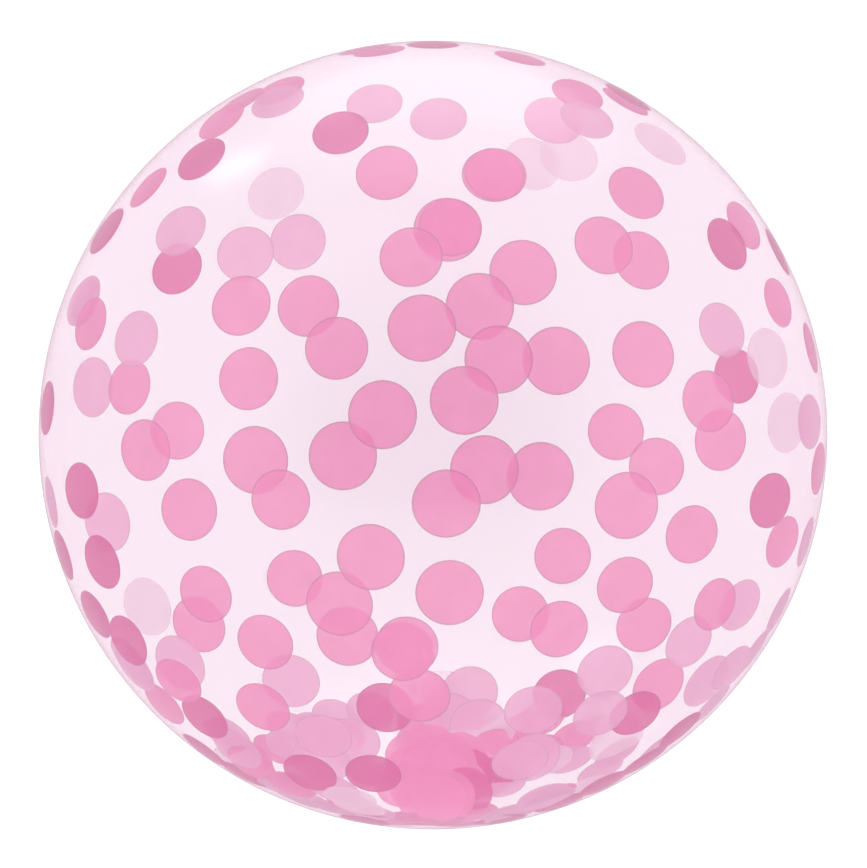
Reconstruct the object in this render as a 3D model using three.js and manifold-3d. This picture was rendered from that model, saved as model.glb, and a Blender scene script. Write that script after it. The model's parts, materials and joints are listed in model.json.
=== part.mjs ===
// A clear bubble balloon, blown to a sphere from stretchy film and lying on the small spot where it
// presses flat. Its welded inflation tail leaves the skin low at the back, bends onto the table and
// lies there. Millimetres, +Z up, -Y towards the front. The origin is the middle of the flat spot.
// The filled balloon is sealed, so it is one solid; the confetti shut inside it isn't modelled here.

import * as THREE from "three";
import { mergeVertices } from "three/addons/utils/BufferGeometryUtils.js";
import Module from "manifold-3d";

const BUBBLE_RADIUS = 225; // an 18 in balloon, blown to 450 mm across
const FLAT_SPOT_RADIUS = 32; // the round patch that the balloon lies on
const CENTRE_HEIGHT = Math.sqrt(BUBBLE_RADIUS ** 2 - FLAT_SPOT_RADIUS ** 2);

const TAIL_ANGLE = THREE.MathUtils.degToRad(20); // where the tail is welded on, up the back from the lowest point
const TAIL_WIDTH = 30;
const NECK_WIDTH = 18; // where the film is drawn in at the weld
const TAIL_THICKNESS = 0.6; // two plies of film with the flat valve between them
const TAIL_RUN = 50; // the length that lies on the table
const TAIL_BEND_RADIUS = 8; // at the middle of its thickness
const TAIL_CORNER_RADIUS = 5;
const TAIL_CLEARANCE = 0.4; // under the tail, so that the weight is on the flat spot alone
const WELD_GAP = 0.3; // between the skin and the tail's end

const TURNS = 64; // facets round the skin
const RINGS = 16; // facets from the equator to the top

const FILM = { color: 0xf7e9f1, roughness: 0.06, metalness: 0, transparent: true, opacity: 0.3 };

const wasm = await Module();
wasm.setup();

// A closed geometry as a manifold-3d solid.
function toSolid(geometry) {
  const bare = geometry.clone().deleteAttribute("normal").deleteAttribute("uv");
  const merged = mergeVertices(bare, 1e-4);
  return new wasm.Manifold(
    new wasm.Mesh({
      numProp: 3,
      vertProperties: merged.attributes.position.array,
      triVerts: new Uint32Array(merged.index.array),
    }),
  );
}

// A manifold-3d solid as a geometry that three.js can draw.
function toGeometry(solid) {
  const { vertProperties, triVerts } = solid.getMesh();
  const geometry = new THREE.BufferGeometry()
    .setAttribute("position", new THREE.BufferAttribute(vertProperties, 3))
    .setIndex(new THREE.BufferAttribute(triVerts, 1));
  geometry.computeVertexNormals();
  return geometry;
}

// The filled skin: a sphere turned about its upright axis, cut flat where it lies.
function skinGeometry() {
  const footAngle = Math.asin(FLAT_SPOT_RADIUS / BUBBLE_RADIUS);
  const belowEquator = Math.round(RINGS * (1 - footAngle / (Math.PI / 2)));
  const onArc = (angle) =>
    new THREE.Vector2(
      BUBBLE_RADIUS * Math.cos(angle),
      CENTRE_HEIGHT + BUBBLE_RADIUS * Math.sin(angle),
    );
  const profile = [new THREE.Vector2(0, 0), new THREE.Vector2(FLAT_SPOT_RADIUS, 0)];
  for (let ring = belowEquator - 1; ring >= 0; ring--) {
    profile.push(onArc((-ring / belowEquator) * (Math.PI / 2 - footAngle)));
  }
  for (let ring = 1; ring < RINGS; ring++) {
    profile.push(onArc((ring / RINGS) * (Math.PI / 2)));
  }
  profile.push(new THREE.Vector2(0, CENTRE_HEIGHT + BUBBLE_RADIUS));
  return new THREE.LatheGeometry(profile, TURNS).rotateX(Math.PI / 2);
}

// The tail from the side, drawn with x along the table to the back and y up: straight out of the
// weld, round the bend, and flat to its end.
function tailSide() {
  const weldDistance = BUBBLE_RADIUS + WELD_GAP;
  const weld = new THREE.Vector2(
    weldDistance * Math.sin(TAIL_ANGLE),
    CENTRE_HEIGHT - weldDistance * Math.cos(TAIL_ANGLE),
  );
  const half = TAIL_THICKNESS / 2;
  const turn = Math.PI / 2 - TAIL_ANGLE; // how far the tail bends
  const bendCentreHeight = TAIL_CLEARANCE + half + TAIL_BEND_RADIUS;
  const bendStartHeight = bendCentreHeight - TAIL_BEND_RADIUS * Math.cos(turn);
  const straight = (weld.y - bendStartHeight) / Math.cos(TAIL_ANGLE);
  const bendCentre = new THREE.Vector2(
    weld.x + straight * Math.sin(TAIL_ANGLE) + TAIL_BEND_RADIUS * Math.sin(turn),
    bendCentreHeight,
  );
  const across = new THREE.Vector2(Math.cos(TAIL_ANGLE), Math.sin(TAIL_ANGLE)).multiplyScalar(half);
  const end = bendCentre.x + TAIL_RUN;
  const bendStart = Math.PI + TAIL_ANGLE;
  const bendEnd = 1.5 * Math.PI;

  const side = new THREE.Shape();
  side.moveTo(weld.x - across.x, weld.y - across.y);
  side.absarc(bendCentre.x, bendCentre.y, TAIL_BEND_RADIUS + half, bendStart, bendEnd, false);
  side.lineTo(end, TAIL_CLEARANCE);
  side.lineTo(end, TAIL_CLEARANCE + TAIL_THICKNESS);
  side.absarc(bendCentre.x, bendCentre.y, TAIL_BEND_RADIUS - half, bendEnd, bendStart, true);
  side.lineTo(weld.x + across.x, weld.y + across.y);
  return { side, start: weld.x, flatStart: bendCentre.x, end };
}

// The tail from above, with x across and y to the back: a drawn-in neck, widening to a flat strip
// with round corners.
function tailPlan({ start, flatStart, end }) {
  const neck = NECK_WIDTH / 2;
  const wide = TAIL_WIDTH / 2;
  const flare = flatStart + TAIL_WIDTH / 2;
  const middle = (flatStart + flare) / 2;
  const plan = new THREE.Shape();
  plan.moveTo(-neck, start - TAIL_BEND_RADIUS);
  plan.lineTo(neck, start - TAIL_BEND_RADIUS);
  plan.lineTo(neck, flatStart);
  plan.bezierCurveTo(neck, middle, wide, middle, wide, flare);
  plan.absarc(wide - TAIL_CORNER_RADIUS, end - TAIL_CORNER_RADIUS, TAIL_CORNER_RADIUS, 0, Math.PI / 2, false);
  plan.absarc(TAIL_CORNER_RADIUS - wide, end - TAIL_CORNER_RADIUS, TAIL_CORNER_RADIUS, Math.PI / 2, Math.PI, false);
  plan.lineTo(-wide, flare);
  plan.bezierCurveTo(-wide, middle, -neck, middle, -neck, flatStart);
  return plan;
}

function tailGeometry() {
  const tail = tailSide();
  const flat = { bevelEnabled: false, curveSegments: 10 };
  const bent = new THREE.ExtrudeGeometry(tail.side, { ...flat, depth: TAIL_WIDTH + 2 })
    .translate(0, 0, -TAIL_WIDTH / 2 - 1)
    .applyMatrix4(
      new THREE.Matrix4().makeBasis(
        new THREE.Vector3(0, 1, 0),
        new THREE.Vector3(0, 0, 1),
        new THREE.Vector3(1, 0, 0),
      ),
    );
  const tall = new THREE.ExtrudeGeometry(tailPlan(tail), { ...flat, depth: CENTRE_HEIGHT });
  return toGeometry(toSolid(bent).intersect(toSolid(tall.translate(0, 0, -1))));
}

function named(name, geometry, material) {
  const mesh = new THREE.Mesh(geometry, new THREE.MeshStandardMaterial(material));
  mesh.name = name;
  return mesh;
}

const balloon = new THREE.Group();
balloon.name = "bubble_balloon";
balloon.add(named("bubble_skin", skinGeometry(), FILM));
balloon.add(named("inflation_tail", tailGeometry(), FILM));

export default balloon;
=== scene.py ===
"""The looks of a clear bubble balloon with pink confetti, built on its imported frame.

The balloon is a ball of stretchy clear film, lying on the small spot where it presses flat. Loose
round confetti of thin tissue clings to the inside of the film and lies in a heap at the bottom. The
flat inflation tail, with its valve, leaves the film low at the back and lies on the table.
Metres, +Z up, -Y towards the front.
"""

import json
import logging
import math
import random
from collections.abc import Callable, Iterator
from contextlib import contextmanager
from dataclasses import dataclass, field
from enum import Enum

import bpy
from mathutils import Matrix, Quaternion, Vector

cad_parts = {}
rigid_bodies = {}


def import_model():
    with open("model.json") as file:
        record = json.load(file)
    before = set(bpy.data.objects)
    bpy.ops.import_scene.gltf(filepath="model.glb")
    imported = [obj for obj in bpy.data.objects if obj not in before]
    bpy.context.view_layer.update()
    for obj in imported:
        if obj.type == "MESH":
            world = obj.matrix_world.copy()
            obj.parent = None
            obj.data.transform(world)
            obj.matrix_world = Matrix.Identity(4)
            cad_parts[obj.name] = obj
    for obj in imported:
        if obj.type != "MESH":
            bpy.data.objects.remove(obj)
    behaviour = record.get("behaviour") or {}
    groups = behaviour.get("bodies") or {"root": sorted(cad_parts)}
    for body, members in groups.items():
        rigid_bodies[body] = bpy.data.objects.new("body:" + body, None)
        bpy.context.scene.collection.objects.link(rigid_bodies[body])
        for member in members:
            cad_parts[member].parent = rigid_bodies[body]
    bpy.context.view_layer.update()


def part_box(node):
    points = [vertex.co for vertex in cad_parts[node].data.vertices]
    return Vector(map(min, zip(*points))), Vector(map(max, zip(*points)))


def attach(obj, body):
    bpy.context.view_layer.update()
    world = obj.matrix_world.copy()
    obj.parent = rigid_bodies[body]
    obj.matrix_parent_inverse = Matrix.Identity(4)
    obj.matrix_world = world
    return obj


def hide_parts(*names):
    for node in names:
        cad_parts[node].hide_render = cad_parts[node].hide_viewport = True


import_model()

LOG = logging.getLogger("bubble_balloon")
MM = 0.001
BODY = "root"
FACE_TILT = math.radians(20.0)  # the side of the balloon that is shown looks up by this much
WHITE = "#FFFFFF"
SAME_PLACE = 0.01 * MM  # vertices nearer than this are one


# ---------------------------------------------------------------- small tools


def linear(hex_colour: str) -> tuple[float, float, float, float]:
    """Turns an sRGB hex colour to the linear values that a shader takes.

    Args:
        hex_colour: the colour as "#RRGGBB".

    Returns:
        Linear red, green and blue, and an alpha of 1.
    """
    channels = (int(hex_colour[i : i + 2], 16) / 255 for i in (1, 3, 5))
    red, green, blue = (c / 12.92 if c <= 0.04045 else ((c + 0.055) / 1.055) ** 2.4 for c in channels)
    return (red, green, blue, 1.0)


def add_node(
    tree: bpy.types.NodeTree, kind: str, settings: dict | None = None, inputs: dict | None = None
) -> bpy.types.Node:
    """Adds one node, with its settings and its inputs.

    Args:
        tree: the node tree that takes it.
        kind: the node's type name.
        settings: attributes of the node, by name.
        inputs: values, or the output sockets linked to it, by the input's name or number.

    Returns:
        The new node.
    """
    node = tree.nodes.new(kind)
    for name, value in (settings or {}).items():
        setattr(node, name, value)
    for key, value in (inputs or {}).items():
        if isinstance(value, bpy.types.NodeSocket):
            tree.links.new(value, node.inputs[key])
        else:
            node.inputs[key].default_value = value
    return node


def new_material(name: str) -> tuple[bpy.types.Material, bpy.types.NodeTree]:
    """Makes an empty node material.

    Args:
        name: the finish's plain name.

    Returns:
        The material and its node tree.
    """
    material = bpy.data.materials.new(name)
    material.use_nodes = True
    material.node_tree.nodes.clear()
    return material, material.node_tree


def close_material(tree: bpy.types.NodeTree, surface: bpy.types.NodeSocket) -> None:
    """Links a finished shader to the material's output."""
    add_node(tree, "ShaderNodeOutputMaterial", inputs={"Surface": surface})


def map_range(
    tree: bpy.types.NodeTree,
    value: bpy.types.NodeSocket,
    ends: tuple[float, float] = (0.0, 1.0),
    begins: tuple[float, float] = (0.0, 1.0),
    smooth: bool = False,
) -> bpy.types.NodeSocket:
    """Maps a value from one range to another, and keeps it in there.

    Args:
        tree: the node tree that takes it.
        value: the value's socket.
        ends: what the range's two ends turn to.
        begins: the range's two ends before that.
        smooth: whether it eases in and out.

    Returns:
        The mapped value's socket.
    """
    ranges = {"From Min": begins[0], "From Max": begins[1], "To Min": ends[0], "To Max": ends[1]}
    kind = {"interpolation_type": "SMOOTHSTEP" if smooth else "LINEAR"}
    node = add_node(tree, "ShaderNodeMapRange", kind, {"Value": value, **ranges})
    return node.outputs["Result"]


def mix_shaders(
    tree: bpy.types.NodeTree,
    share: bpy.types.NodeSocket | float,
    first: bpy.types.Node,
    second: bpy.types.Node,
) -> bpy.types.Node:
    """Mixes two shaders.

    Args:
        tree: the node tree that takes the mix.
        share: how much of the second there is.
        first: the first shader's node.
        second: the second shader's node.

    Returns:
        The mixing node.
    """
    shaders = {0: share, 1: first.outputs[0], 2: second.outputs[0]}
    return add_node(tree, "ShaderNodeMixShader", inputs=shaders)


def mix_colours(
    tree: bpy.types.NodeTree,
    share: bpy.types.NodeSocket,
    first: bpy.types.NodeSocket | tuple[float, float, float, float],
    second: tuple[float, float, float, float],
) -> bpy.types.NodeSocket:
    """Mixes two colours.

    Args:
        tree: the node tree that takes the mix.
        share: how much of the second there is.
        first: the first colour, in linear values, or its socket.
        second: the second colour, in linear values.

    Returns:
        The mixed colour's socket.
    """
    colours = {"Factor": share, 6: first, 7: second}
    return add_node(tree, "ShaderNodeMix", {"data_type": "RGBA"}, colours).outputs[2]


def edge_on(tree: bpy.types.NodeTree, falloff: float) -> bpy.types.NodeSocket:
    """Tells how nearly edge on a surface is seen.

    Args:
        tree: the material's node tree.
        falloff: how close to edge on it stays near 0.

    Returns:
        The socket, 0 straight on and 1 edge on.
    """
    facing = add_node(tree, "ShaderNodeLayerWeight", inputs={"Blend": 0.5}).outputs["Facing"]
    return add_node(
        tree, "ShaderNodeMath", {"operation": "POWER"}, {0: facing, 1: falloff}
    ).outputs[0]


def deselect_all() -> None:
    """Leaves nothing selected, so that an operator takes only what comes next."""
    for thing in bpy.context.view_layer.objects:
        thing.select_set(False)


def make_active(thing: bpy.types.Object) -> None:
    """Selects one object alone and makes it the active one."""
    deselect_all()
    thing.select_set(True)
    bpy.context.view_layer.objects.active = thing


@contextmanager
def edit_mode(thing: bpy.types.Object) -> Iterator[None]:
    """Keeps one object in edit mode, with nothing on it selected at the start.

    Args:
        thing: the mesh object that is edited.

    Yields:
        Nothing; the block runs in edit mode.
    """
    make_active(thing)
    bpy.ops.object.mode_set(mode="EDIT")
    bpy.ops.mesh.select_all(action="DESELECT")
    try:
        yield
    finally:
        bpy.ops.object.mode_set(mode="OBJECT")


def select_vertices(thing: bpy.types.Object, wanted: Callable[[Vector], bool]) -> None:
    """Selects, in edit mode, the vertices whose place passes a test.

    Args:
        thing: the object that is in edit mode.
        wanted: says whether a vertex at this place is taken.
    """
    bpy.ops.mesh.select_mode(type="VERT")
    bpy.ops.mesh.select_all(action="DESELECT")
    bpy.ops.object.mode_set(mode="OBJECT")
    for vertex in thing.data.vertices:
        vertex.select = wanted(vertex.co)
    bpy.ops.object.mode_set(mode="EDIT")


def apply_place(thing: bpy.types.Object) -> None:
    """Moves an object's place, turn and scale into its mesh."""
    make_active(thing)
    bpy.ops.object.transform_apply(location=True, rotation=True, scale=True)


def apply_modifier(thing: bpy.types.Object, kind: str, **settings: object) -> None:
    """Adds one modifier to an object and applies it.

    Args:
        thing: the object.
        kind: the modifier's type name.
        **settings: the modifier's own settings.
    """
    modifier = thing.modifiers.new(kind.title(), kind)
    for name, value in settings.items():
        setattr(modifier, name, value)
    make_active(thing)
    bpy.ops.object.modifier_apply(modifier=modifier.name)


def take_new(name: str) -> bpy.types.Object:
    """Names the object that an operator has just added, and puts its place in its mesh.

    Args:
        name: the piece's plain name.

    Returns:
        The object.
    """
    thing = bpy.context.view_layer.objects.active
    thing.name = name
    thing.data.name = name
    apply_place(thing)
    return thing


def dress(thing: bpy.types.Object, material: bpy.types.Material) -> None:
    """Gives an object one material."""
    thing.data.materials.clear()
    thing.data.materials.append(material)


def let_light_by(thing: bpy.types.Object) -> None:
    """Lets the room's light past a piece so thin and clear that the shade it throws can't be seen."""
    thing.visible_shadow = thing.visible_diffuse = thing.visible_transmission = False


def report(thing: bpy.types.Object, note: str) -> None:
    """Logs a finished piece and how many faces it has."""
    LOG.info("%s: %s, %d faces", thing.name, note, len(thing.data.polygons))


# ---------------------------------------------------------------- sizes that come from the frame


@dataclass(frozen=True)
class Ball:
    """The filled balloon's ball, as the frame gives it.

    Attributes:
        radius: the ball's radius.
        centre: its middle.
        neck_angle: how far up the back the neck is, from the lowest point.
    """

    radius: float
    centre: Vector
    neck_angle: float

    @classmethod
    def from_frame(cls) -> "Ball":
        """Reads the ball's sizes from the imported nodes."""
        low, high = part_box("bubble_skin")
        radius = (high.x - low.x) / 2
        centre = Vector((0.0, 0.0, high.z - radius))
        tail_low, tail_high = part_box("inflation_tail")
        neck = Vector((0.0, tail_low.y, tail_high.z)) - centre
        return cls(radius, centre, math.atan2(neck.y, -neck.z))

    @property
    def neck_direction(self) -> Vector:
        """The way out of the ball at the neck."""
        return Vector((0.0, math.sin(self.neck_angle), -math.cos(self.neck_angle)))


def face_direction(off: float, clock: float) -> Vector:
    """Turns two angles, told from the middle of the shown face, into a way out of the ball's middle.

    Args:
        off: degrees off the middle of the face.
        clock: degrees round it, clockwise from the top.

    Returns:
        A unit vector.
    """
    away, turn = math.radians(off), math.radians(clock)
    level = Vector((math.sin(away) * math.sin(turn), -math.cos(away), math.sin(away) * math.cos(turn)))
    return Quaternion((1.0, 0.0, 0.0), -FACE_TILT) @ level


# ---------------------------------------------------------------- finishes


@dataclass(frozen=True)
class StretchFilm:
    """Blown stretch film, as the balloon's skin: clear, glossy, with a breath of milky haze.

    Stretching leaves the film a little hazy. Its faint pink tint is in part painted light: it stands
    in for the pink light that the discs throw onto the film, which they don't here, since light passes
    them. Seen edge on it mirrors more and shows more of that tint, and that draws the balloon's
    outline. The film is far thinner than anything that shows, so it is one surface, with both of its
    faces' gloss.

    Attributes:
        colour: what white light turns to on its way through.
        haze: the share of light that it scatters, seen straight on.
        rim_haze: the same, seen edge on.
        haze_colour: the colour of that haze, seen straight on.
        rim_colour: the same, seen edge on.
        roughness: how soft the room's lights are in it.
        gloss: the share of light that it mirrors, seen straight on.
        rim_gloss: the same, seen edge on.
        gloss_falloff: how close to the edge the gloss keeps.
        rim_falloff: how close to the edge the haze keeps.
    """

    # The pink in the film's colour and haze colour is partly painted light, for the pink that the
    # discs throw onto the film.
    colour: str = "#F2E9EF"
    haze: float = 0.02
    rim_haze: float = 0.75
    haze_colour: str = "#F6DCEA"
    rim_colour: str = "#AC909F"
    roughness: float = 0.2
    gloss: float = 0.06
    rim_gloss: float = 0.16
    gloss_falloff: float = 5.0
    rim_falloff: float = 7.0

    def material(self) -> bpy.types.Material:
        """Builds the material."""
        material, tree = new_material("clear stretch film, blown")
        rim = edge_on(tree, self.rim_falloff)
        slant = edge_on(tree, self.gloss_falloff)
        gloss_share = map_range(tree, slant, (self.gloss, self.rim_gloss))
        haze_share = map_range(tree, rim, (self.haze, self.rim_haze))
        milk_colour = mix_colours(tree, rim, linear(self.haze_colour), linear(self.rim_colour))
        clear = add_node(tree, "ShaderNodeBsdfTransparent", inputs={"Color": linear(self.colour)})
        mirror = {"Color": linear(WHITE), "Roughness": self.roughness}
        gloss = add_node(tree, "ShaderNodeBsdfGlossy", inputs=mirror)
        through = mix_shaders(tree, gloss_share, clear, gloss)
        front = add_node(tree, "ShaderNodeBsdfDiffuse", inputs={"Color": milk_colour})
        back = add_node(tree, "ShaderNodeBsdfTranslucent", inputs={"Color": milk_colour})
        milk = mix_shaders(tree, 0.5, front, back)
        film = mix_shaders(tree, haze_share, through, milk)
        close_material(tree, film.outputs[0])
        return material


@dataclass(frozen=True)
class WeldedFilm:
    """Two plies of the same film, hot-welded down both edges, as the tail and its valve sleeve.

    The weld lines are whiter, because pressing the hot film leaves it full of fine creases.

    Attributes:
        name: the finish's plain name.
        colour: the film's own colour.
        cover: the share of light that the plain film stops.
        weld_cover: the same on a weld line.
        clear_colour: what white light turns to where the film lets it through.
        roughness: how soft the room's lights are in it.
        ior: the film's refractive index.
    """

    name: str = "clear film, two plies, hot-welded"
    colour: str = "#F6E6EF"
    cover: float = 0.16
    weld_cover: float = 0.45
    clear_colour: str = "#FDF8FB"
    roughness: float = 0.18
    ior: float = 1.5

    def material(self) -> bpy.types.Material:
        """Builds the material."""
        material, tree = new_material(self.name)
        weld = add_node(
            tree, "ShaderNodeAttribute", {"attribute_name": "weld", "attribute_type": "GEOMETRY"}
        ).outputs["Fac"]
        cover = map_range(tree, weld, (self.cover, self.weld_cover))
        plastic = {
            "Base Color": linear(self.colour), "Roughness": self.roughness, "IOR": self.ior,
        }
        surface = add_node(tree, "ShaderNodeBsdfPrincipled", inputs=plastic)
        clear_colour = {"Color": linear(self.clear_colour)}
        clear = add_node(tree, "ShaderNodeBsdfTransparent", inputs=clear_colour)
        film = mix_shaders(tree, cover, clear, surface)
        close_material(tree, film.outputs[0])
        return material


@dataclass(frozen=True)
class TissuePaper:
    """Thin dyed tissue, die-cut into rounds: light comes through it. A darker ring round each disc's
    rim is painted shade, standing in for its thin cut edge.

    Seen edge on, light crosses more of the sheet, so its dye looks deeper and greyer.

    Attributes:
        slot: the record's material slot.
        colour: the dyed colour.
        edge_shade_colour: the painted shade on the cut edge.
        deep_colour: the colour seen edge on.
        cover: the share of light that one face of a disc stops.
        edge_width: how far the painted edge shade reaches in.
        cloud: the size of the sheet's faint cloudiness; single fibres are too fine to show.
        cloud_detail: how many finer sizes of it there are.
        cloud_span: the part of the noise's range that is used.
        cloud_levels: how light the dye is in its darkest and its lightest place.
        glow: the share of its light that comes through from behind.
        deep_falloff: how close to edge on the deeper colour keeps.
    """

    slot: str
    colour: str
    edge_shade_colour: str
    deep_colour: str
    cover: float
    edge_width: float = 0.6 * MM
    cloud: float = 9.0 * MM
    cloud_detail: float = 2.0
    cloud_span: tuple[float, float] = (0.3, 0.7)
    cloud_levels: tuple[float, float] = (0.96, 1.03)
    glow: float = 0.45
    deep_falloff: float = 1.6

    def material(self, disc_radius: float) -> bpy.types.Material:
        """Builds the material.

        Args:
            disc_radius: the radius that a disc's UV map is drawn for.

        Returns:
            The material.
        """
        material, tree = new_material(f"dyed tissue, die-cut, {self.slot}")
        place = add_node(tree, "ShaderNodeTexCoord").outputs["Object"]
        noise = {"Scale": 1 / self.cloud, "Detail": self.cloud_detail, "Roughness": 0.5}
        cloud = add_node(tree, "ShaderNodeTexNoise", inputs={"Vector": place, **noise})
        level = map_range(tree, cloud.outputs["Fac"], self.cloud_levels, self.cloud_span)
        dye = add_node(
            tree,
            "ShaderNodeVectorMath",
            {"operation": "SCALE"},
            {0: linear(self.colour)[:3], "Scale": level},
        ).outputs[0]
        depth = edge_on(tree, self.deep_falloff)
        sheet_colour = mix_colours(tree, depth, dye, linear(self.deep_colour))
        on_disc = add_node(tree, "ShaderNodeUVMap", {"uv_map": "disc"}).outputs["UV"]
        from_middle = add_node(
            tree, "ShaderNodeVectorMath", {"operation": "LENGTH"}, {0: on_disc}
        ).outputs["Value"]
        # The darker ring round the rim is painted shade, for the disc's cut edge.
        edge = self.edge_width / disc_radius
        edge_shade_share = map_range(tree, from_middle, begins=(1 - 2 * edge, 1 - 0.4 * edge), smooth=True)
        colour = mix_colours(tree, edge_shade_share, sheet_colour, linear(self.edge_shade_colour))
        face = add_node(tree, "ShaderNodeBsdfDiffuse", inputs={"Color": colour})
        back_light = add_node(tree, "ShaderNodeBsdfTranslucent", inputs={"Color": colour})
        sheet = mix_shaders(tree, self.glow, face, back_light)
        clear = add_node(tree, "ShaderNodeBsdfTransparent")
        cover = map_range(tree, depth, (self.cover, (1 + self.cover) / 2))
        tissue = mix_shaders(tree, cover, clear, sheet)
        close_material(tree, tissue.outputs[0])
        return material


class Tint(Enum):
    """The pinks that the confetti is mixed from. They are partly the tissue's own dyes and partly lit
    and shaded copies of one pink: blush and pale are in part painted highlight, where the film's sheen
    and haze lie over discs, and rose is in part painted shade, on discs near the edge.
    """

    PINK = TissuePaper("confetti_pink", "#F189BC", "#CB85A8", "#BE5F90", 0.58)
    ROSE = TissuePaper("confetti_rose", "#E062A2", "#BC6492", "#A84078", 0.62)
    BLUSH = TissuePaper("confetti_blush", "#EEA8CD", "#D2A0BB", "#BC7FA2", 0.56)
    PALE = TissuePaper("confetti_pale", "#EABFD6", "#E6BCD2", "#D6B2C6", 0.34)


@dataclass(frozen=True)
class StudioPaper:
    """Seamless matt background paper, almost white.

    Attributes:
        colour: the paper's colour.
        roughness: how matt it is.
        shine: how much it still mirrors.
    """

    colour: str = "#FDFDFD"
    roughness: float = 0.9
    shine: float = 0.1

    def material(self) -> bpy.types.Material:
        """Builds the material."""
        material, tree = new_material("seamless paper, matt")
        matt = {"Roughness": self.roughness, "Specular IOR Level": self.shine}
        surface = add_node(
            tree, "ShaderNodeBsdfPrincipled", inputs={"Base Color": linear(self.colour), **matt}
        )
        close_material(tree, surface.outputs[0])
        return material


# ---------------------------------------------------------------- the balloon's film


@dataclass
class BubbleSkin:
    """The ball of film, with the flat spot that it lies on and the gathers round its neck.

    Attributes:
        ball: the ball's sizes.
        meridians: faces round the ball, from the neck to the pole opposite.
        rings: faces from the neck to the pole opposite.
        crease: how wide the film bends where it lifts off the table.
        crease_steps: faces across that bend.
        gathers: folds that run into the neck.
        gather_depth: how deep the folds are at the neck.
        gather_reach: how far from the neck they fade out.
        neck_rise: how far the film is drawn out at the neck.
        neck_radius: how wide that drawn-out part is.
        spot_height: film lower than this is left as it lies.
        finish: its finish.
    """

    ball: Ball
    meridians: int = 320
    rings: int = 168
    crease: float = 4.0 * MM
    crease_steps: int = 4
    gathers: int = 14
    gather_depth: float = 0.9 * MM
    gather_reach: float = 60.0 * MM
    neck_rise: float = 3.0 * MM
    neck_radius: float = 16.0 * MM
    spot_height: float = 0.5 * MM
    finish: StretchFilm = field(default_factory=StretchFilm)

    def build(self) -> bpy.types.Object:
        """Makes the skin and dresses it.

        Returns:
            The finished piece.
        """
        deselect_all()
        bpy.ops.mesh.primitive_uv_sphere_add(
            segments=self.meridians,
            ring_count=self.rings,
            radius=self.ball.radius,
            location=self.ball.centre,
            rotation=(self.ball.neck_angle, 0.0, 0.0),
        )
        skin = take_new("bubble_film")
        self.press_flat(skin)
        self.gather_neck(skin)
        make_active(skin)
        bpy.ops.object.shade_smooth()
        dress(skin, self.finish.material())
        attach(skin, BODY)
        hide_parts("bubble_skin")
        let_light_by(skin)
        report(skin, "blown film")
        return skin

    def press_flat(self, skin: bpy.types.Object) -> None:
        """Cuts the ball off where it lies, and rounds the crease round that flat spot."""
        with edit_mode(skin):
            bpy.ops.mesh.select_all(action="SELECT")
            bpy.ops.mesh.bisect(
                plane_co=(0.0, 0.0, 0.0), plane_no=(0.0, 0.0, 1.0), use_fill=True, clear_inner=True
            )
            select_vertices(skin, lambda place: abs(place.z) < 0.1 * SAME_PLACE)
            bpy.ops.mesh.bevel(
                offset=self.crease, segments=self.crease_steps, affect="EDGES", clamp_overlap=True
            )
            bpy.ops.mesh.select_all(action="SELECT")
            bpy.ops.mesh.remove_doubles(threshold=SAME_PLACE)
            bpy.ops.mesh.normals_make_consistent(inside=False)

    def gather_neck(self, skin: bpy.types.Object) -> None:
        """Draws the film out to the neck, in folds that fade up the ball."""
        axis = self.ball.neck_direction
        side = Vector((1.0, 0.0, 0.0))
        up = axis.cross(side)
        for vertex in skin.data.vertices:
            out = (vertex.co - self.ball.centre).normalized()
            distance = self.ball.radius * out.angle(axis)
            if distance > self.gather_reach or vertex.co.z < self.spot_height:
                continue
            turn = math.atan2(out.dot(up), out.dot(side))
            fade = (1 - distance / self.gather_reach) ** 2
            near = min(1.0, distance / self.neck_radius)
            fold = self.gather_depth * fade * near * math.cos(self.gathers * turn)
            rise = self.neck_rise * max(0.0, 1 - distance / self.neck_radius) ** 2
            vertex.co += out * (rise + fold - self.gather_depth * fade * near)


# ---------------------------------------------------------------- the tail and its valve


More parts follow.
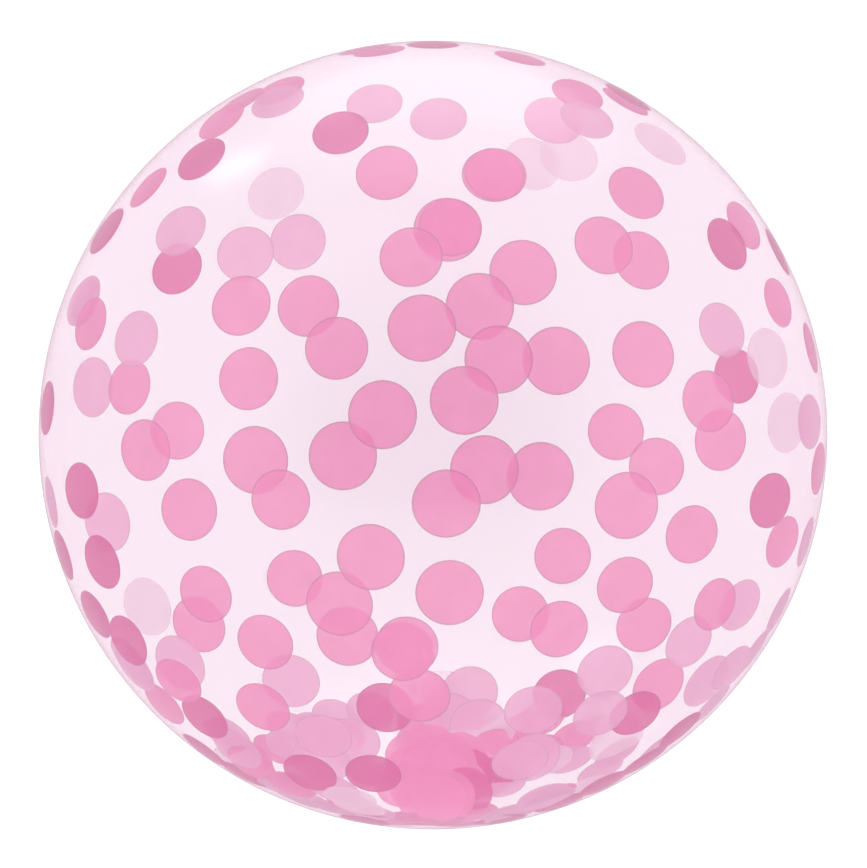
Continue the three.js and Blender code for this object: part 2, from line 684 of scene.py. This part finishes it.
@dataclass
class FilmStrip:
    """A flat strip of film that leaves the neck, bends onto the table and lies there.

    Attributes:
        name: the piece's name.
        ball: the ball that it leaves.
        neck_width: its width where it leaves the neck.
        width: its width where it lies.
        thickness: its thickness away from the welds.
        short_by: how far its end stays back from the tail's end.
        corner: the radius of the corners at its end.
        columns: faces across it.
        weld_width: how wide each weld line is.
        weld_thickness: its thickness at the welds, as a share of the rest.
        bend_radius: the radius of its bend onto the table.
        bend_steps: faces along that bend.
        mid_rise: how high its middle lies over the tail's underside.
        run_rows: faces along it where it widens, where it is even and round its corners.
        same_row: how near two vertices are, along it, to be in one row.
        finish: its finish.
    """

    name: str
    ball: Ball
    neck_width: float
    width: float
    thickness: float
    short_by: float = 0.0
    corner: float = 5.0 * MM
    columns: int = 16
    weld_width: float = 2.0 * MM
    weld_thickness: float = 0.5
    bend_radius: float = 8.0 * MM
    bend_steps: int = 9
    mid_rise: float = 0.3 * MM
    run_rows: tuple[int, int, int] = (6, 4, 5)
    same_row: float = 0.05 * MM
    finish: WeldedFilm = field(default_factory=WeldedFilm)

    def build(self) -> bpy.types.Object:
        """Makes the strip and dresses it.

        Returns:
            The piece, not yet riding on anything.
        """
        low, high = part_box("inflation_tail")
        mid_height = low.z + self.mid_rise
        bend = Vector((0.0, 0.0, mid_height + self.bend_radius))
        turn = math.pi / 2 - self.ball.neck_angle
        down = self.ball.neck_direction
        start = self.ball.centre + down * self.ball.radius
        bend_start_height = bend.z - self.bend_radius * math.cos(turn)
        straight = (start.z - bend_start_height) / math.cos(self.ball.neck_angle)
        bend.y = (start + down * straight).y + self.bend_radius * math.sin(turn)

        deselect_all()
        bpy.ops.mesh.primitive_grid_add(
            x_subdivisions=self.columns,
            y_subdivisions=2,
            size=1.0,
            location=start + down * (straight / 2),
            rotation=(-turn, 0.0, 0.0),
        )
        strip = bpy.context.view_layer.objects.active
        strip.scale = (self.neck_width, straight, 1.0)
        strip = take_new(self.name)
        with edit_mode(strip):
            lowest = min(vertex.co.z for vertex in strip.data.vertices)
            select_vertices(strip, lambda place: place.z < lowest + SAME_PLACE)
            bpy.ops.mesh.spin(steps=self.bend_steps, angle=turn, center=bend, axis=(1.0, 0.0, 0.0))
            self.run_flat(bend.y, high.y - self.short_by, mid_height)
            bpy.ops.mesh.select_all(action="SELECT")
            bpy.ops.mesh.remove_doubles(threshold=SAME_PLACE)
        self.weld_edges(strip)
        make_active(strip)
        bpy.ops.object.shade_smooth()
        dress(strip, self.finish.material())
        return strip

    def run_flat(self, begin: float, end: float, height: float) -> None:
        """Extrudes the selected row along the table, widening it and then rounding its corners.

        Args:
            begin: where the strip starts to lie flat.
            end: where it ends.
            height: the height of its middle.
        """
        flare = self.width / 2
        widening, even, rounding = self.run_rows
        rows = [begin + flare * step / widening for step in range(1, widening + 1)]
        body = end - self.corner - rows[-1]
        rows += [rows[-1] + body * step / even for step in range(1, even + 1)]
        turns = [math.pi / 2 * step / rounding for step in range(1, rounding + 1)]
        rows += [end - self.corner * (1 - math.sin(turn)) for turn in turns]
        place, width = begin, self.neck_width
        for row in rows:
            bpy.ops.mesh.extrude_region_move(
                TRANSFORM_OT_translate={"value": (0.0, row - place, 0.0)}
            )
            wanted = self.width_at(row - begin, end - row, flare)
            bpy.ops.transform.resize(
                value=(wanted / width, 1.0, 1.0), center_override=(0.0, row, height)
            )
            place, width = row, wanted

    def width_at(self, from_bend: float, to_end: float, flare: float) -> float:
        """The strip's width at one row.

        Args:
            from_bend: how far the row is from the bend.
            to_end: how far it is from the strip's end.
            flare: the length over which the strip widens.

        Returns:
            The width there.
        """
        share = min(1.0, from_bend / flare)
        width = self.neck_width + (self.width - self.neck_width) * share * share * (3 - 2 * share)
        if to_end < self.corner:
            drop = self.corner - to_end
            width -= 2 * (self.corner - math.sqrt(max(0.0, self.corner**2 - drop**2)))
        return width

    def weld_edges(self, strip: bpy.types.Object) -> None:
        """Marks the weld lines along both edges, and gives the strip its thickness.

        Args:
            strip: the flat strip; it gets less thickness at the welds.
        """
        rows: dict[int, float] = {}
        places = [vertex.co.copy() for vertex in strip.data.vertices]
        keys = [round((place.y - place.z) / self.same_row) for place in places]
        for key, place in zip(keys, places):
            rows[key] = max(rows.get(key, 0.0), abs(place.x))
        welded = [rows[key] - abs(place.x) < self.weld_width for key, place in zip(keys, places)]
        weld = strip.data.attributes.new("weld", "FLOAT", "POINT")
        weld.data.foreach_set("value", [float(is_weld) for is_weld in welded])
        body = strip.vertex_groups.new(name="body")
        body.add([index for index, is_weld in enumerate(welded) if not is_weld], 1.0, "REPLACE")
        apply_modifier(
            strip,
            "SOLIDIFY",
            thickness=self.thickness,
            offset=0.0,
            vertex_group="body",
            thickness_vertex_group=self.weld_thickness,
        )


@dataclass
class InflationTail:
    """The flat tail through which the balloon is filled, with its valve sleeve between the plies.

    Attributes:
        ball: the ball that it leaves.
        neck_width: the tail's width at the neck.
        width: its width where it lies.
        thickness: its thickness.
        sleeve_width: the valve sleeve's width.
        sleeve_thickness: its thickness.
        sleeve_short_by: how far its end stays back from the tail's end.
        sleeve_corner: the radius of its corners, and the width of its weld lines.
    """

    ball: Ball
    neck_width: float = 18.0 * MM
    width: float = 30.0 * MM
    thickness: float = 0.6 * MM
    sleeve_width: float = 13.0 * MM
    sleeve_thickness: float = 0.2 * MM
    sleeve_short_by: float = 14.0 * MM
    sleeve_corner: float = 1.0 * MM

    def build(self) -> None:
        """Makes the tail and the valve sleeve in it."""
        tail = FilmStrip(
            "film_tail", self.ball, self.neck_width, self.width, self.thickness
        ).build()
        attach(tail, BODY)
        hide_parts("inflation_tail")
        report(tail, "welded film strip")

        sleeve_film = WeldedFilm(
            name="valve sleeve film, printed pale", colour="#F3D3E2", cover=0.35, weld_cover=0.55
        )
        sleeve = FilmStrip(
            "valve_sleeve",
            self.ball,
            self.sleeve_width,
            self.sleeve_width,
            self.sleeve_thickness,
            short_by=self.sleeve_short_by,
            corner=self.sleeve_corner,
            columns=8,
            weld_width=self.sleeve_corner,
            finish=sleeve_film,
        ).build()
        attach(sleeve, BODY)
        report(sleeve, "flat self-sealing valve")


# ---------------------------------------------------------------- confetti


# The darker ring drawn round each disc's rim is painted shade for its cut edge.
SMALL = 15.5 * MM  # a heap disc's radius, which every disc's cut edge is drawn for


@dataclass(frozen=True)
class Spot:
    """Where one confetti disc lies, told by where its middle is seen on the shown face.

    Attributes:
        off: degrees off the middle of that face; past 90 the disc is on the far wall.
        clock: degrees round it, clockwise from the top.
        tint: the disc's pink.
        radius: the disc's radius.
        lean: degrees by which it leans off the film, squarer to the shown face.
        turn: degrees by which the way that it leans is turned.
    """

    off: float
    clock: float
    tint: Tint
    radius: float
    lean: float = 0.0
    turn: float = 0.0


@dataclass(frozen=True)
class Patch:
    """Discs of one tint and one size, each as (off, clock).

    The tissue stretches and shrinks a little as it is dyed, so that the punched rounds differ.

    Attributes:
        tint: their pink.
        radius: their radius.
        spots: where each lies, as in Spot.
    """

    tint: Tint
    radius: float
    spots: tuple[tuple[float, float], ...]


# Placed one by one. Where two overlap, the one nearer the film comes first.
PATCHES = (
    # low round the edge
    Patch(Tint.ROSE, 14.8 * MM, (
        (75, 161), (75, 154), (75, 147), (72, 140), (77, 170), (77, -170), (75, -144), (75, -151),
    )),
    # over the darker ones, up the sides
    Patch(Tint.BLUSH, 15.2 * MM, (
        (50, -51), (53, -10), (46, 70), (48, 1), (57, 26), (47, -72), (63, -25),
        (67, 88), (57, 119), (51, 129), (66, -69), (68, 128),
    )),
    # the middle of the near wall
    Patch(Tint.PINK, 17.5 * MM, (
        (14, -6), (13, 41), (18, 20), (25, 29), (28, 4), (6, 42), (7, -68), (12, -103), (9, 169),
        (8, 124), (15, 111), (19, 59), (31, 69), (18, -153), (24, -98), (28, 110), (21, 174),
        (26, -151),
    )),
    Patch(Tint.PINK, 16.3 * MM, (
        (24, -44), (26, -73), (36, -107), (28.4, 4.8), (38.3, 13.5), (30, -172), (32, -56),
        (38, 13), (38, -10), (24, -7), (36, 42),
        (39, 50), (48, 40), (30, -157), (29, -173), (42, -93), (42, 91), (40, 83), (17, -48),
        (37, -177),
    )),
    Patch(Tint.PINK, 15.6 * MM, (
        (40, 111), (32, 147), (34, 128), (38, -141), (40, -125), (22, -113), (49, -148),
    )),
    # round the edge of the near wall
    Patch(Tint.PINK, 14.8 * MM, (
        (60, -72), (62, 107), (64, 23), (68, -34), (77, -10), (51, 121), (67, -24), (58, -134),
        (73, 95), (69, -135), (66, -151), (67, -158), (46, -81), (66, 56),
    )),
    Patch(Tint.ROSE, 15.2 * MM, (
        (60, -40), (48, -17), (57, 57), (58, -111), (40, -170), (55, 144), (72, -58), (73, -86),
        (63, -124), (61, -141), (60, -160), (55, -170),
    )),
    Patch(Tint.ROSE, 14.8 * MM, (
        (77, 30), (76, 0), (78, 62), (70, -118), (75, -108),
    )),
    # low on the near wall
    Patch(Tint.BLUSH, 15.6 * MM, (
        (43, 160), (50, 149), (53, 165), (68, 163), (68, -128), (64, -148), (49, -160),
    )),
    # under the heap
    Patch(Tint.PINK, 15.2 * MM, (
        (81, -173), (80, 174), (84, -179), (87, 176), (90, -174), (93, 179), (98, -177), (101, 174),
    )),
    # the far wall, seen through the balloon
    Patch(Tint.PINK, 18.2 * MM, (
        (150, 133), (146, 154), (141, 98), (149, 89), (146, -136), (129, 132), (125, -129),
        (135, -89), (116, 138),
    )),
    Patch(Tint.PINK, 15.2 * MM, (
        (104, -69), (101, -49), (105, 69), (98, -30), (96, 13), (94, -8), (97, 30),
        (93, 77),
    )),
    Patch(Tint.BLUSH, 15.2 * MM, (
        (94, 106), (94, 117), (94, 124), (95, 134), (94, -100),
    )),
    Patch(Tint.ROSE, 17.0 * MM, (
        (124, -57), (123, 79), (114, 101), (110, -99), (128, 154), (113, 171),
    )),
    Patch(Tint.BLUSH, 18.2 * MM, (
        (139, -35), (134, -46), (116, 21), (127, 144), (134, 172), (127, 171), (106, 132),
        (114, -161), (115, -132), (102, -127), (129, -150), (114, -82), (116, 163), (121, -165),
        (129, 177), (116, -105),
    )),
    Patch(Tint.PALE, 18.2 * MM, (
        (128, -33), (123, 26), (128, 20), (111, 88), (117, -121), (105, 38), (114, 77), (110, 149),
    )),
)


@dataclass
class Confetti:
    """The loose tissue discs inside the balloon.

    Attributes:
        ball: the ball that holds them.
        thickness: a disc's thickness, drawn thicker than tissue so that its two faces stay apart.
        plain_share: how far out a disc's UV map reaches where the painted shade on its cut edge is
            left off.
        sides: the sides of a disc's outline.
        clearance: how far a disc stays inside the film.
        layer: how far a disc that overlaps another lies further in.
        lean: degrees by which a disc up the side leans off the film.
        far_lean: the same, on the far wall.
        full_lean_off: degrees off the face's middle, or the far wall's, from which it is full.
        flat_off: the same, where a disc lies on the film again.
        flat_fade: degrees over which it comes to lie on the film.
        lean_spread: degrees by which one disc's lean differs from another's.
        turn_spread: degrees by which its way differs.
        seed: the start of the random draws.
        strays: tries at a disc scattered low down, where the balloon was last tilted to.
        stray_off: how far the middle of their patch is off the shown face's middle, in degrees.
        stray_reach: how far they reach round that middle, in degrees.
        stray_radius: their radius.
        stray_lean: the most that one leans, in degrees.
        stray_turn: degrees by which its way differs.
        stray_tints: their pinks, in turn.
        heap_off: degrees off the shown face's middle up to which the heap keeps strays away.
        heap_gap: how far it does so past its edge, in stray radii.
        heaped: discs in the heap at the bottom.
        heap_radius: how far the heap reaches sideways and towards the shown face.
        heap_height: how high it is in the middle.
        heap_place: how far its middle is from the lowest point, sideways and towards the face.
        heap_lean: the least and the most that a disc in it leans, in degrees.
        heap_roll: degrees by which it leans sideways.
        rose_from: how far to the right its discs turn to rose, as a share of its radius.
        push_rounds: how often a disc's rim is moved clear of the film.
    """

    ball: Ball
    thickness: float = 0.12 * MM
    plain_share: float = 0.88
    sides: int = 32
    clearance: float = 0.35 * MM
    layer: float = 0.4 * MM
    lean: float = 12.0
    far_lean: float = 18.0
    full_lean_off: float = 35.0
    flat_off: float = 84.0
    flat_fade: float = 20.0
    lean_spread: float = 2.5
    turn_spread: float = 20.0
    seed: int = 11
    strays: int = 96
    stray_off: float = 95.0
    stray_reach: float = 36.0
    stray_radius: float = 15.0 * MM
    stray_lean: float = 9.0
    stray_turn: float = 50.0
    stray_tints: tuple[Tint, ...] = (Tint.BLUSH, Tint.PINK, Tint.BLUSH, Tint.PALE)
    heap_off: float = 120.0
    heap_gap: float = 0.8
    heaped: int = 19
    heap_radius: tuple[float, float] = (24.0 * MM, 50.0 * MM)
    heap_height: float = 10.0 * MM
    heap_place: tuple[float, float] = (3.0 * MM, 14.0 * MM)
    heap_lean: tuple[float, float] = (24.0, 40.0)
    heap_roll: float = 12.0
    rose_from: float = 0.8
    push_rounds: int = 8

    def build(self) -> None:
        """Makes every disc and joins them to one piece for each tint."""
        draw = random.Random(self.seed)
        spots = self.placed_spots(draw) + self.stray_spots(draw)
        pattern = self.cut_disc()
        discs: dict[Tint, list[bpy.types.Object]] = {tint: [] for tint in Tint}
        laid: list[tuple[Vector, float, int]] = []
        for spot in spots:
            place = self.on_film(spot, laid)
            discs[spot.tint].append(self.copy_disc(pattern, place, spot.radius))
        for tint, place, radius in self.heap(draw):
            discs[tint].append(self.copy_disc(pattern, place, radius, edge_shaded=False))
        bpy.data.objects.remove(pattern)
        for tint, copies in discs.items():
            self.join(tint, copies)

    def cut_disc(self) -> bpy.types.Object:
        """Makes the disc that the others are copied from, one unit in radius, with its own UV map.

        Returns:
            The pattern disc, lying flat at the origin.
        """
        deselect_all()
        bpy.ops.mesh.primitive_cylinder_add(
            vertices=self.sides, radius=1.0, depth=1.0, end_fill_type="NGON"
        )
        disc = take_new("confetti_pattern")
        uv = disc.data.uv_layers[0]
        uv.name = "disc"
        for loop in disc.data.loops:
            place = disc.data.vertices[loop.vertex_index].co
            uv.data[loop.index].uv = (place.x, place.y)
        return disc

    def copy_disc(
        self, pattern: bpy.types.Object, place: Matrix, radius: float, edge_shaded: bool = True
    ) -> bpy.types.Object:
        """Copies the pattern disc to one place, with a mesh of its own.

        Args:
            pattern: the disc that is copied.
            place: where its middle goes and how it is turned.
            radius: its radius.
            edge_shaded: whether the painted shade on its cut edge is drawn. Discs that lie on each
                other don't get it.

        Returns:
            The copy.
        """
        mesh = pattern.data.copy()
        if not edge_shaded:
            for corner in mesh.uv_layers["disc"].data:
                corner.uv = corner.uv * self.plain_share
        mesh.transform(place @ Matrix.Diagonal((radius, radius, self.thickness, 1.0)))
        disc = bpy.data.objects.new("disc", mesh)
        bpy.context.scene.collection.objects.link(disc)
        return disc

    def placed_spots(self, draw: random.Random) -> list[Spot]:
        """The discs that are placed one by one. Those up the side lean off the film, held by one edge.

        Args:
            draw: the random draws.

        Returns:
            The spots.
        """
        spots = []
        for patch in PATCHES:
            for off, clock in patch.spots:
                slant = min(off, 180 - off)
                most = self.lean if off < 90 else self.far_lean
                share = min(
                    1.0, slant / self.full_lean_off, (self.flat_off - slant) / self.flat_fade
                )
                lean = most * share + draw.uniform(-self.lean_spread, self.lean_spread)
                turn = draw.uniform(-self.turn_spread, self.turn_spread)
                spots.append(Spot(off, clock, patch.tint, patch.radius, max(0.0, lean), turn))
        return spots

    def stray_spots(self, draw: random.Random) -> list[Spot]:
        """Discs scattered at random over the low part that the confetti settled on.

        Args:
            draw: the random draws.

        Returns:
            The spots.
        """
        spots: list[Spot] = []
        face, up, side = face_direction(0, 0), face_direction(90, 0), Vector((1.0, 0.0, 0.0))
        middle = face_direction(self.stray_off, 180)
        heap_edge = (self.heap_radius[0] + self.heap_gap * self.stray_radius) / self.ball.radius
        for number in range(self.strays):
            spread = math.radians(self.stray_reach * math.sqrt(draw.random()))
            across = Quaternion(middle, math.radians(draw.uniform(0, 360))) @ side
            way = Quaternion(across, spread) @ middle
            off = math.degrees(way.angle(face))
            if abs(way.x) < heap_edge and off < self.heap_off:
                continue  # the heap lies there
            clock = math.degrees(math.atan2(way.dot(side), way.dot(up)))
            tint = self.stray_tints[number % len(self.stray_tints)]
            lean = draw.uniform(0, self.stray_lean)
            turn = draw.uniform(-self.stray_turn, self.stray_turn)
            spots.append(Spot(off, clock, tint, self.stray_radius, lean, turn))
        return spots

    def on_film(self, spot: Spot, laid: list[tuple[Vector, float, int]]) -> Matrix:
        """Lays a disc against the inside of the film, on top of those it overlaps.

        Args:
            spot: where the disc lies.
            laid: the discs laid so far, as direction, radius and layer; this one is added.

        Returns:
            The disc's place.
        """
        out = face_direction(spot.off, spot.clock)
        under = [
            layer
            for other, radius, layer in laid
            if self.ball.radius * out.angle(other) < radius + spot.radius
        ]
        layer = 1 + max(under, default=-1)
        laid.append((out, spot.radius, layer))
        limit = self.ball.radius - self.clearance - self.layer * layer
        sine = math.sin(math.radians(spot.lean))
        depth = -spot.radius * sine + math.sqrt(limit**2 - spot.radius**2 * (1 - sine * sine))
        # A disc that leans has its middle well inside the film, so it goes further out to be seen
        # in its place.
        reach = min(0.999, math.sin(math.radians(spot.off)) * self.ball.radius / depth)
        seen_off = math.degrees(math.asin(reach))
        out = face_direction(seen_off if spot.off < 90 else 180 - seen_off, spot.clock)
        viewer = face_direction(0.0, 0.0) * (1 if spot.off < 90 else -1)
        axis = Quaternion(out, math.radians(spot.turn)) @ out.cross(viewer).normalized()
        normal = Quaternion(axis, math.radians(spot.lean)) @ out
        centre = self.ball.centre + out * depth
        centre.z = max(centre.z, self.clearance + self.layer * layer + spot.radius * sine)
        return Matrix.Translation(centre) @ normal.to_track_quat("Z", "Y").to_matrix().to_4x4()

    def heap(self, draw: random.Random) -> list[tuple[Tint, Matrix, float]]:
        """The discs that slid down to the bottom, leaning like roof tiles. Some cross each other.

        Args:
            draw: the random draws.

        Returns:
            Each disc's tint, place and radius.
        """
        heaped = []
        golden = math.radians(137.5)  # the angle that spreads any number of discs evenly
        for number in range(self.heaped):
            turn, share = number * golden, math.sqrt((number + draw.random()) / self.heaped)
            across = self.heap_place[0] + self.heap_radius[0] * share * math.sin(turn)
            along = -self.heap_place[1] + self.heap_radius[1] * share * math.cos(turn)
            floor = self.ball.centre.z - math.sqrt(self.ball.radius**2 - across**2 - along**2)
            lean = math.radians(draw.uniform(*self.heap_lean))
            lift = math.sin(lean) * SMALL + self.heap_height * (1 - share)
            centre = Vector((across, along, max(0.0, floor) + self.clearance + lift))
            roll = math.radians(draw.uniform(-self.heap_roll, self.heap_roll))
            turned = Quaternion((0.0, 1.0, 0.0), roll) @ Quaternion((1.0, 0.0, 0.0), lean)
            tint = Tint.ROSE if across > self.rose_from * self.heap_radius[0] else Tint.PINK
            place = Matrix.Translation(centre) @ turned.to_matrix().to_4x4()
            heaped.append((tint, self.pushed_inside(place, SMALL), SMALL))
        return heaped

    def pushed_inside(self, place: Matrix, radius: float) -> Matrix:
        """Moves a disc away from the film, until all of its rim is clear of it.

        Args:
            place: the disc's place.
            radius: its radius.

        Returns:
            The new place.
        """
        steps = [2 * math.pi * step / self.sides for step in range(self.sides)]
        rim = [Vector((radius * math.cos(turn), radius * math.sin(turn), 0.0)) for turn in steps]
        limit = self.ball.radius - self.clearance - self.layer
        for _ in range(self.push_rounds):
            points = [place @ point for point in rim]
            far = max(points, key=lambda point: (point - self.ball.centre).length)
            out = far - self.ball.centre
            if out.length > limit:
                place = Matrix.Translation(out.normalized() * (limit - out.length)) @ place
            low = min(point.z for point in points)
            if low < self.clearance:
                place = Matrix.Translation((0.0, 0.0, self.clearance - low)) @ place
        return place

    def join(self, tint: Tint, copies: list[bpy.types.Object]) -> None:
        """Joins one tint's discs to one piece and dresses it.

        Args:
            tint: the discs' tint.
            copies: the discs.
        """
        deselect_all()
        for copy in copies:
            copy.select_set(True)
        bpy.context.view_layer.objects.active = copies[0]
        bpy.ops.object.join()
        piece = bpy.context.view_layer.objects.active
        piece.name = tint.value.slot
        piece.data.name = tint.value.slot
        make_active(piece)
        bpy.ops.object.shade_flat()
        dress(piece, tint.value.material(SMALL))
        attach(piece, BODY)
        let_light_by(piece)
        report(piece, f"{len(copies)} tissue discs")


# ---------------------------------------------------------------- studio


@dataclass(frozen=True)
class Softbox:
    """One oval studio light, told by where the film mirrors it.

    Attributes:
        name: its name.
        off: degrees off the middle of the shown face at which the film mirrors the light.
        clock: degrees round that face, clockwise from the top.
        width: its width, in ball radii.
        height: its height, in ball radii.
        radiance: how bright its face is, against the white room's 1.
        distance: how far it hangs from the ball's middle, in ball radii.
    """

    name: str
    off: float
    clock: float
    width: float
    height: float
    radiance: float
    distance: float = 5.0


SOFTBOXES = (
    Softbox("top", 50.0, 2.0, 6.0, 6.0, 0.55),
    Softbox("top_middle", 55.0, 2.0, 4.0, 3.2, 0.8, 4.8),
    Softbox("upper_left", 50.0, -36.0, 0.75, 1.1, 4.0),
)


@dataclass
class Studio:
    """Floor, lights and camera.

    Attributes:
        ball: the ball that the lights and the camera aim at.
        distance: the camera's distance from the ball's middle, in ball radii.
        fill: the share of the picture's width that the ball takes.
        sensor: the camera's sensor width, in millimetres.
        room_light: the strength of the even light from all round.
        dark_light: the same from straight behind the camera.
        dark_edge: the cosine of how far from there the dark part of the room reaches.
        aim_shift: how far the picture is shifted sideways and up, in picture widths.
        floor_size: the floor's width.
        most_walls: how many clear faces in a row light may cross.
    """

    ball: Ball
    distance: float = 8.0
    fill: float = 0.909
    sensor: float = 36.0
    room_light: float = 1.38
    dark_light: float = 0.45
    dark_edge: float = 0.45
    aim_shift: tuple[float, float] = (0.0006, 0.0012)
    floor_size: float = 60.0
    most_walls: int = 48

    def build(self) -> None:
        """Makes the whole studio."""
        self.lay_floor()
        self.light_room()
        for box in SOFTBOXES:
            self.hang(box)
        self.place_camera()
        scene = bpy.context.scene
        scene.view_settings.view_transform = "Standard"
        # Light crosses two film walls and several discs in a row, each with two faces.
        scene.cycles.transparent_max_bounces = self.most_walls

    def lay_floor(self) -> None:
        """Lays the pale floor that the balloon rests on."""
        deselect_all()
        bpy.ops.mesh.primitive_plane_add(size=self.floor_size)
        floor = take_new("studio_floor")
        dress(floor, StudioPaper().material())

    def light_room(self) -> None:
        """Sets the even white light from all round, dimmer from the dark room behind the camera."""
        world = bpy.data.worlds.new("white room")
        bpy.context.scene.world = world
        world.use_nodes = True
        tree = world.node_tree
        way = add_node(tree, "ShaderNodeTexCoord").outputs["Generated"]
        to_camera = add_node(
            tree,
            "ShaderNodeVectorMath",
            {"operation": "DOT_PRODUCT"},
            {0: way, 1: face_direction(0.0, 0.0)},
        ).outputs["Value"]
        levels = (self.room_light, self.dark_light)
        light = map_range(tree, to_camera, levels, (self.dark_edge, 1.0), smooth=True)
        background = tree.nodes["Background"]
        background.inputs["Color"].default_value = linear(WHITE)
        tree.links.new(light, background.inputs["Strength"])

    def hang(self, box: Softbox) -> None:
        """Hangs one softbox, aimed at the ball's middle.

        Args:
            box: the softbox.
        """
        data = bpy.data.lights.new(box.name, "AREA")
        data.shape = "ELLIPSE"
        data.size, data.size_y = box.width * self.ball.radius, box.height * self.ball.radius
        data.energy = box.radiance * math.pi * (math.pi / 4 * data.size * data.size_y)
        light = bpy.data.objects.new(box.name, data)
        offset = face_direction(2 * box.off, box.clock) * box.distance * self.ball.radius
        light.location = self.ball.centre + offset
        light.rotation_euler = offset.to_track_quat("Z", "Y").to_euler()
        # The room lights the balloon, and the softboxes only shine in its film.
        light.visible_diffuse = False
        bpy.context.scene.collection.objects.link(light)

    def place_camera(self) -> None:
        """Places the camera in front of the balloon, looking down on it."""
        away = self.distance * self.ball.radius
        data = bpy.data.cameras.new("camera")
        data.sensor_width = self.sensor
        half_angle = math.asin(1 / self.distance)
        data.lens = self.fill * self.sensor / 2 / math.tan(half_angle)
        data.shift_x, data.shift_y = self.aim_shift
        camera = bpy.data.objects.new("camera", data)
        back = Vector((0.0, -math.cos(FACE_TILT), math.sin(FACE_TILT)))
        camera.location = self.ball.centre + back * away
        camera.rotation_euler = (-back).to_track_quat("-Z", "Y").to_euler()
        bpy.context.scene.collection.objects.link(camera)
        bpy.context.scene.camera = camera


def main() -> None:
    """Builds the balloon's looks and the studio round it."""
    logging.basicConfig(level=logging.INFO, format="%(name)s: %(message)s")
    ball = Ball.from_frame()
    Studio(ball).build()
    BubbleSkin(ball).build()
    InflationTail(ball).build()
    Confetti(ball).build()


if __name__ == "__main__":
    main()
